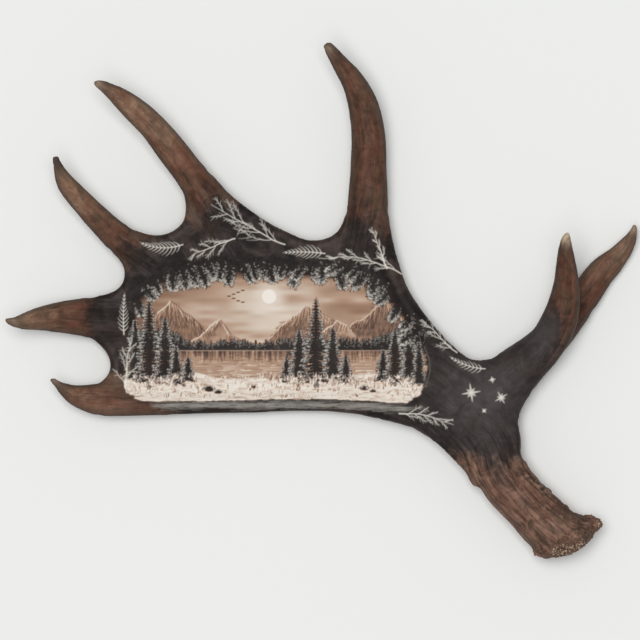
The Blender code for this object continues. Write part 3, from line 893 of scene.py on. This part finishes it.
sprig((82, 26), 146, 88, 22, spread=0.24)
sprig((66, 32), 114, 45, -12, twigs=8, spread=0.3)
fern((4, 47), 172, 42, 14)
sprig((136, -52), 142, 50, -16, twigs=9)
fern((164, -68), 178, 38, -34, reach=0.26)
sprig((78, -113), 4, 56, -34, twigs=10)
for x, y, radius, turn in ((150, -92, 10, 8), (180, -97, 7.5, 30), (171, -79, 4, 12), (163, -110, 3.2, 40)):
    star(x, y, radius, turn)
line([(103, -46), (108, -58), (109, -70), (106, -82), (99, -92), (84, -104)], 0.3, 0.2,
     strength=0.3, white=0.5, raised=0.3)
line([(x, y - 1.6) for x, y in BANK_EDGE[2:-2]], 0.7, 0.7,
     strength=0.8, soft=0.8, tone=BLACK, drawn=1.0, white=0.0)
for _ in range(1000):
    x = brush.uniform(-172, 84)
    low_rim = -104.8 + brush.normal(0, 2.0) - 0.0006 * max(x, 0) ** 2
    rim_stroke = bowed((x, low_rim), brush.normal(0, 2), brush.uniform(4, 18), 0, 2)
    line(rim_stroke, 0.32, 0.08, strength=brush.uniform(0.14, 0.44), white=0.38)
for layer in sheet:
    sheet[layer] = softened(sheet[layer], 1)


def from_sheet(layer):
    """What the sheet holds over each point of the skin that faces up."""
    column = np.clip((place[:, 0] - sheet_x[0]) / SHEET_CELL, 0, len(sheet_x) - 1.001)
    row = np.clip((place[:, 1] - sheet_y[0]) / SHEET_CELL, 0, len(sheet_y) - 1.001)
    left, low = column.astype(int), row.astype(int)
    across, up = column - left, row - low
    grid = sheet[layer]
    lower = grid[low, left] * (1 - across) + grid[low, left + 1] * across
    upper = grid[low + 1, left] * (1 - across) + grid[low + 1, left + 1] * across
    return (lower * (1 - up) + upper * up) * smooth_step(0.1, 0.4, facing[:, 2])


painted = {layer: from_sheet(layer) for layer in sheet}
lift += painted["raised"]


# The finished surface: every rib, dent and cut above is now worked into the bone, which stays inside
# the solids' box and flat where it rests. Grooves are found again for their stain and painted shade.
GROOVE_SPREAD = 4


def skin_moved():
    points = place + facing * lift[:, None]
    put_points(skin, np.clip(points, cad_low / MM, cad_high / MM))


def grooves(passes):
    """How far each point lies below the mean of the skin round it, in millimetres."""
    mean = neighbour_mean(skin)
    points = points_of(skin)
    level = points
    for _ in range(passes):
        level = mean(level)
    return ((level - points) * normals_of(skin)).sum(1)


skin_moved()
place = points_of(skin)
facing = normals_of(skin)
groove = grooves(GROOVE_SPREAD) * (1 - cut_nearness(place))
# Painted shade, with some burnt stain: the upper skin darkens where it turns away from above, towards the
# limbs' edges.
edge_shade = upside * smooth_step(0.82, 0.1, facing[:, 2])
# A painted reflection of the light: the dark stain is greyed round the fork and up the brow branch.
painted_sheen = np.exp(-((place[:, 0] - 166) / 46) ** 2 - ((place[:, 1] + 92) / 52) ** 2)
painted_sheen += 0.9 * np.exp(-((place[:, 0] - 222) / 19) ** 2 - ((place[:, 1] + 28) / 30) ** 2)
surface_facts = {
    "brown": np.maximum(brown, 0.85 * back), "limb": limb_share, "beam": on_beam, "tip": tip,
    "tip_tone": tip_tone, "pale": pale, "painted_sheen": painted_sheen, "sides": sides * limb_share * (1 - on_beam),
    "groove": np.clip(groove, -1, 1), "edge_shade": edge_shade,
    "tone": painted["tone"], "white": painted["white"], "drawn": painted["drawn"],
}


# The finish. The bone is stained: near black on the palm, the fork and the brow branch, mid brown with
# reddish patches and darker streaks on the tines, and a redder brown on the beam, paler on its crests,
# which is partly wear and partly a painted highlight. Painted shade darkens the grooves, sides and edges,
# and a painted reflection greys the dark stain round the fork.
def linear(code):
    """A colour from its hex code, as Blender keeps it."""
    parts = [int(code[i:i + 2], 16) / 255 for i in (1, 3, 5)]
    return tuple(p / 12.92 if p < 0.04045 else ((p + 0.055) / 1.055) ** 2.4 for p in parts)


class Finish:
    """A material under construction: each call adds a node and gives its output."""

    def __init__(self, name):
        self.material = bpy.data.materials.new(name)
        self.material.use_nodes = True
        self.tree = self.material.node_tree
        self.shader = self.tree.nodes["Principled BSDF"]

    def set(self, socket, value):
        if isinstance(value, bpy.types.NodeSocket):
            self.tree.links.new(value, socket)
        elif isinstance(value, str):
            socket.default_value = (*linear(value), 1)
        else:
            socket.default_value = value

    def node(self, kind, entries, output=0, **settings):
        """Adds a node with these settings, fills in its inputs and gives one of its outputs."""
        node = self.tree.nodes.new("ShaderNode" + kind)
        for name, value in settings.items():
            setattr(node, name, value)
        for socket, value in entries.items():
            self.set(node.inputs[socket], value)
        return node.outputs[output]

    def fact(self, name, kept_as="Fac"):
        return self.node("Attribute", {}, kept_as, attribute_name=name)

    def own_place(self):
        return self.node("TexCoord", {}, "Object")

    def stretched(self, vector, factors):
        return self.node("VectorMath", {0: vector, 1: factors}, operation="MULTIPLY")

    def noise(self, vector, scale=1.0, detail=3.0, rough=0.55, warp=0.0):
        entries = {"Vector": vector, "Scale": scale, "Detail": detail, "Roughness": rough, "Distortion": warp}
        return self.node("TexNoise", entries, "Fac")

    def blend(self, share, a, b):
        return self.node("Mix", {0: share, 2: a, 3: b})

    def sum(self, a, b, operation="ADD"):
        return self.node("Math", {0: a, 1: b}, operation=operation)

    def product(self, a, b):
        return self.sum(a, b, "MULTIPLY")

    def between(self, value, low, high, to_low=0.0, to_high=1.0):
        """The value spread from one range over another, and held to it."""
        entries = dict(enumerate((value, low, high, to_low, to_high)))
        return self.node("MapRange", entries, interpolation_type="SMOOTHSTEP")

    def ramp(self, value, stops):
        shade = self.node("ValToRGB", {0: value})
        band = shade.node.color_ramp
        while len(band.elements) < len(stops):
            band.elements.new(0.5)
        for element, (position, code) in zip(band.elements, stops):
            element.position = position
            element.color = (*linear(code), 1)
        return shade

    def mix(self, share, a, b):
        return self.node("Mix", {0: share, 6: a, 7: b}, 2, data_type="RGBA")

    def bump(self, height, strength, distance):
        entries = {"Strength": strength, "Distance": distance, "Height": height}
        self.set(self.shader.inputs["Normal"], self.node("Bump", entries))


NEAR_BLACK = [(0.2, "#191412"), (0.45, "#241d1a"), (0.6, "#2e2624"), (0.85, "#3f3634")]
DEEP_BROWN = [(0.15, "#36251c"), (0.4, "#4a3125"), (0.6, "#5a3c2f"), (0.85, "#6e4c3c")]
PALE_BROWN = [(0.15, "#5c4638"), (0.4, "#735746"), (0.6, "#856753"), (0.85, "#9c8069")]
BEAM_BROWN = [(0.15, "#392a21"), (0.4, "#5a4237"), (0.55, "#6f5446"), (0.7, "#836353"), (0.9, "#9a7865")]
TIP_TONES = [(0.0, "#453c37"), (0.3, "#5c4e43"), (0.6, "#8d7968"), (1.0, "#d9c4a4")]
RED_PATCH = "#6b4031"
OLIVE_PATCH = "#57493a"
SHADED_LIMB_SIDES = "#4c4139"
BROWN_CLOUDS = "#392a20"
PAINTED_SHEEN = "#484241"
GROOVES = "#17110e"
WORN_AND_LIT_CRESTS = "#9c7b6a"
SHADED_EDGES = "#261c17"
WHITE_LINES = "#ebe4da"
PALE_PEARL = "#bda98f"
PICTURE_TONES = [(0.0, "#1b1614"), (0.14, "#2b2320"), (0.32, "#57433a"), (0.5, "#8a6a56"), (0.64, "#b1937d"),
                 (0.8, "#d3c4b5"), (1.0, "#ebe5dd")]


def stained_bone(name):
    finish = Finish(name)
    strands = finish.fact("ribbing", "Vector")
    spot = finish.own_place()
    fibres = finish.noise(finish.stretched(strands, (0.8, 0.8, 0.05)), detail=5.0, rough=0.65, warp=0.5)
    streaks = finish.noise(finish.stretched(strands, (0.14, 0.14, 0.02)), detail=4.0, rough=0.6, warp=0.8)
    mottle = finish.noise(spot, 75.0, detail=7.0, rough=0.65, warp=0.6)
    clouds = finish.noise(spot, 24.0, detail=4.0, rough=0.6, warp=0.8)
    limb = finish.fact("limb")
    on_beam = finish.fact("beam")
    plain = finish.sum(finish.product(mottle, 0.55), finish.product(clouds, 0.45))
    drawn_out = finish.sum(finish.product(fibres, 0.24), finish.product(streaks, 0.35))
    drawn_out = finish.sum(drawn_out, finish.product(mottle, 0.41))
    grain = finish.between(finish.blend(limb, plain, drawn_out), 0.29, 0.71)
    brown = finish.mix(finish.fact("pale"), finish.ramp(grain, DEEP_BROWN), finish.ramp(grain, PALE_BROWN))
    brown = finish.mix(on_beam, brown, finish.ramp(grain, BEAM_BROWN))
    patches = finish.noise(finish.stretched(strands, (0.06, 0.06, 0.025)), detail=3.0, warp=1.0)
    redness = finish.between(patches, 0.47, 0.7, 0.0, 0.45)
    redness = finish.product(finish.product(redness, limb), finish.between(on_beam, 0.0, 1.0, 1.0, 0.5))
    brown = finish.mix(redness, brown, RED_PATCH)
    olive = finish.product(finish.between(patches, 0.47, 0.34, 0.0, 0.4), limb)
    brown = finish.mix(olive, brown, OLIVE_PATCH)
    # Painted shade, with some burnt stain: a greyer brown towards the sides of the tines.
    sides = finish.product(finish.fact("sides"), finish.between(mottle, 0.3, 0.7, 0.4, 0.7))
    brown = finish.mix(sides, brown, SHADED_LIMB_SIDES)
    tip = finish.product(finish.fact("tip"), finish.between(mottle, 0.25, 0.6, 0.5, 1.0))
    tip_tone = finish.sum(finish.fact("tip_tone"), finish.product(finish.sum(streaks, -0.5), 0.9))
    brown = finish.mix(tip, brown, finish.ramp(tip_tone, TIP_TONES))
    dark = finish.ramp(grain, NEAR_BLACK)
    dark = finish.mix(finish.between(clouds, 0.5, 0.66, 0.0, 0.35), dark, BROWN_CLOUDS)
    # The painted reflection: the dark stain greyed round the fork and the brow branch, where the light
    # glances off.
    painted_sheen = finish.product(finish.fact("painted_sheen"), finish.between(mottle, 0.3, 0.7, 0.55, 1.0))
    dark = finish.mix(painted_sheen, dark, PAINTED_SHEEN)
    ragged = finish.sum(finish.fact("brown"), finish.product(finish.sum(grain, -0.5), 0.5))
    colour = finish.mix(finish.between(ragged, 0.1, 0.9), dark, brown)
    groove = finish.fact("groove")
    # Darker in the grooves: stain settled in them, and painted shade.
    colour = finish.mix(finish.between(groove, 0.02, 0.45, 0.0, 0.75), colour, GROOVES)
    # Paler on the beam's crests: partly wear, partly a painted highlight.
    worn = finish.product(finish.between(groove, -0.05, -0.5, 0.0, 0.55), on_beam)
    colour = finish.mix(finish.product(worn, finish.fact("brown")), colour, WORN_AND_LIT_CRESTS)
    # Painted shade, with some burnt stain, on the edges that turn away from above.
    colour = finish.mix(finish.product(finish.fact("edge_shade"), 0.6), colour, SHADED_EDGES)
    colour = finish.mix(finish.fact("drawn"), colour, finish.ramp(finish.fact("tone"), PICTURE_TONES))
    colour = finish.mix(finish.fact("white"), colour, WHITE_LINES)
    finish.set(finish.shader.inputs["Base Color"], colour)
    finish.set(finish.shader.inputs["Roughness"], finish.between(grain, 0.0, 1.0, 0.62, 0.48))
    finish.shader.inputs["Specular IOR Level"].default_value = 0.14
    height = finish.sum(finish.product(fibres, finish.sum(finish.product(on_beam, 2.2), 0.4)), mottle)
    finish.bump(height, 0.32, 0.4 * MM)
    return finish.material


# The pieces. The skin is parted where the solids are: at a fork on each limb, given as (x, y, heading
# of the limb, half width of the cut, height it reaches). The palm's mesh is kept in three blocks.
PALM_BLOCKS = {"palm_left": -100, "palm_middle": 10, "palm_right": 400}
WIDE_CUT = 360.0


def face_table(mesh):
    """Each face's first corner and corner count, and the corners' points."""
    fields = ((mesh.polygons, "loop_start"), (mesh.polygons, "loop_total"), (mesh.loops, "vertex_index"))
    return [rows_of(table, field, 1, np.int32)[:, 0] for table, field in fields]


def face_owners(centres):
    """The name of the piece that each face belongs to."""
    owner = np.full(len(centres), "palm_right", dtype="U24")
    for block, limit in reversed(PALM_BLOCKS.items()):
        owner[centres[:, 0] < limit] = block
    free = np.ones(len(centres), bool)
    for piece, fork in FORKS.items():
        past, beside = beyond_fork(centres, *fork)
        beyond = (past > 0) & ~beside
        owner[free & beyond] = piece
        free &= ~beyond
    return owner


def keep_fact(mesh, name, values):
    """Stores a number for each of the mesh's points, for the finish to read."""
    mesh.attributes.new(name, "FLOAT", "POINT").data.foreach_set("value", values.astype(np.float32))


def parted_piece(name, faces, start, count, corner):
    """A mesh of some of the skin's faces, closed where it was parted, with the skin's facts and shading."""
    counts = count[faces]
    firsts = np.concatenate([[0], np.cumsum(counts)[:-1]])
    picks = np.repeat(start[faces] - firsts, counts) + np.arange(counts.sum())
    used, corners = np.unique(corner[picks], return_inverse=True)
    mesh = bpy.data.meshes.new(name)
    mesh.vertices.add(len(used))
    mesh.loops.add(len(corners))
    mesh.polygons.add(len(counts))
    mesh.vertices.foreach_set("co", (place[used] * MM).astype(np.float32).ravel())
    mesh.loops.foreach_set("vertex_index", corners.astype(np.int32).ravel())
    mesh.polygons.foreach_set("loop_start", firsts.astype(np.int32))
    mesh.update(calc_edges=True)
    bm = bmesh.new()
    bm.from_mesh(mesh)
    rim = [edge for edge in bm.edges if edge.is_boundary]
    closing = bmesh.ops.holes_fill(bm, edges=rim)["faces"]
    # A round cut is closed by a fan from its middle, and the palm's long bent ones by triangles between
    # their edges, because the middle of a bent cut lies above the skin.
    wide = [face for face in closing if face.calc_perimeter() > WIDE_CUT * MM]
    bmesh.ops.poke(bm, faces=[face for face in closing if face not in wide])
    bmesh.ops.triangulate(bm, faces=wide)
    bm.to_mesh(mesh)
    bm.free()
    mesh.shade_smooth()
    used = np.append(used, np.full(len(mesh.vertices) - len(used), used[0]))
    for fact, values in surface_facts.items():
        keep_fact(mesh, fact, values[used])
    strands = mesh.attributes.new("ribbing", "FLOAT_VECTOR", "POINT")
    strands.data.foreach_set("vector", ribbing[used].astype(np.float32).ravel())
    mesh.normals_split_custom_set_from_vertices(facing[used].tolist())
    return placed(name, mesh)


bone = stained_bone("stained_bone")
start, count, corner = face_table(skin)
corner_points = place[corner]
centres = np.add.reduceat(corner_points, start, axis=0) / count[:, None]
owners = face_owners(centres)
for name in list(PALM_BLOCKS) + list(FORKS):
    node = "palm" if name in PALM_BLOCKS else name
    piece = parted_piece(name + "_skin", np.nonzero(owners == name)[0], start, count, corner)
    piece.data.materials.append(bone)
    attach(piece, "root")
    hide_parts(node)
bpy.data.meshes.remove(skin)


# The burr's pearls: small round knobs of bone in a ring round the shed end, brown like the beam, and a few
# left pale. Geometry Nodes sets them on the skin, at spots that each have a size and a paleness of their own.
BURR_RING = [(213, -254), (228, -256), (238, -251), (254, -249), (265, -244), (268, -238), (270, -232),
             (278, -225), (280, -219), (275, -214)]
PEARL_BAND = 8.0
PEARL_SPACING = 2.3
PEARL_RADIUS = (0.7, 1.4)
PEARL_FINENESS = 2
PALE_PEARLS = [(245, -247, 10), (234, -250, 6), (257, -243, 6), (277, -223, 3)]


def pearl_spots():
    """Points of the skin near the ring, spaced out, with a size and a paleness each, as a mesh."""
    dice = np.random.default_rng(61)
    corners = np.array(BURR_RING, float)
    ring = np.concatenate([np.linspace(a, b, 8) for a, b in zip(corners, corners[1:])])
    near = np.nonzero(np.linalg.norm(place - BURR_CENTRE, axis=1) < 70)[0]
    gap = np.linalg.norm(place[near, None, :2] - ring[None], axis=2).min(1)
    near = near[(gap < PEARL_BAND * dice.random(len(near)) ** 0.5) & (facing[near, 2] > -0.4)]
    near = dice.permutation(near)
    kept = near[:1]
    for index in near:
        if np.linalg.norm(place[kept] - place[index], axis=1).min() > PEARL_SPACING:
            kept = np.append(kept, index)
    radius = dice.uniform(*PEARL_RADIUS, len(kept))
    pale = np.zeros(len(kept))
    for x, y, reach in PALE_PEARLS:
        pale = np.maximum(pale, np.exp(-(np.hypot(*(place[kept, :2] - (x, y)).T) / reach) ** 2))
    mesh = bpy.data.meshes.new("pearl_spots")
    spots = np.clip(place[kept] - 0.3 * radius[:, None] * facing[kept], cad_low / MM + 2, cad_high / MM - 2)
    mesh.from_pydata((spots * MM).tolist(), [], [])
    keep_fact(mesh, "radius", radius * MM)
    pale *= dice.choice([0.1, 0.3, 0.6, 1.0], len(kept))
    keep_fact(mesh, "cream", pale)
    return mesh


def pearl_tree():
    """A ball on every spot, as big as the spot says; gives the tree and its inputs' identifiers."""
    tree = bpy.data.node_groups.new("pearls", "GeometryNodeTree")
    tree.interface.new_socket("Geometry", in_out="INPUT", socket_type="NodeSocketGeometry")
    fineness = tree.interface.new_socket("Fineness", in_out="INPUT", socket_type="NodeSocketInt")
    coat = tree.interface.new_socket("Coat", in_out="INPUT", socket_type="NodeSocketMaterial")
    tree.interface.new_socket("Geometry", in_out="OUTPUT", socket_type="NodeSocketGeometry")
    entry, exit, ball, size, balls, solid, smooth, paint = (tree.nodes.new(kind) for kind in (
        "NodeGroupInput", "NodeGroupOutput", "GeometryNodeMeshIcoSphere", "GeometryNodeInputNamedAttribute",
        "GeometryNodeInstanceOnPoints", "GeometryNodeRealizeInstances", "GeometryNodeSetShadeSmooth",
        "GeometryNodeSetMaterial"))
    ball.inputs["Radius"].default_value = 1.0
    size.data_type = "FLOAT"
    size.inputs["Name"].default_value = "radius"
    for giver, output, taker, socket in (
            (entry, "Geometry", balls, "Points"), (entry, "Fineness", ball, "Subdivisions"),
            (ball, "Mesh", balls, "Instance"), (size, "Attribute", balls, "Scale"),
            (balls, "Instances", solid, "Geometry"), (solid, "Geometry", smooth, "Geometry"),
            (smooth, "Geometry", paint, "Geometry"), (entry, "Coat", paint, "Material"),
            (paint, "Geometry", exit, "Geometry")):
        tree.links.new(giver.outputs[output], taker.inputs[socket])
    return tree, fineness.identifier, coat.identifier


def pearly_bone():
    finish = Finish("pearly_bone")
    mottle = finish.noise(finish.own_place(), 220.0, detail=3.0)
    pale = finish.sum(finish.fact("cream"), finish.product(finish.sum(mottle, -0.5), 0.6))
    pale = finish.between(pale, 0.1, 0.8)
    colour = finish.mix(pale, finish.ramp(mottle, BEAM_BROWN), PALE_PEARL)
    finish.set(finish.shader.inputs["Base Color"], colour)
    finish.shader.inputs["Roughness"].default_value = 0.55
    finish.shader.inputs["Specular IOR Level"].default_value = 0.14
    return finish.material


pearls = placed("burr_pearls", pearl_spots())
nodes = pearls.modifiers.new("pearls", "NODES")
nodes.node_group, fineness, coat = pearl_tree()
nodes[fineness] = PEARL_FINENESS
nodes[coat] = pearly_bone()
solid_pearls = bpy.data.meshes.new_from_object(pearls.evaluated_get(bpy.context.evaluated_depsgraph_get()))
pearls.modifiers.clear()
pearls.data = solid_pearls
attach(pearls, "root")
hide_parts("beam_and_burr")
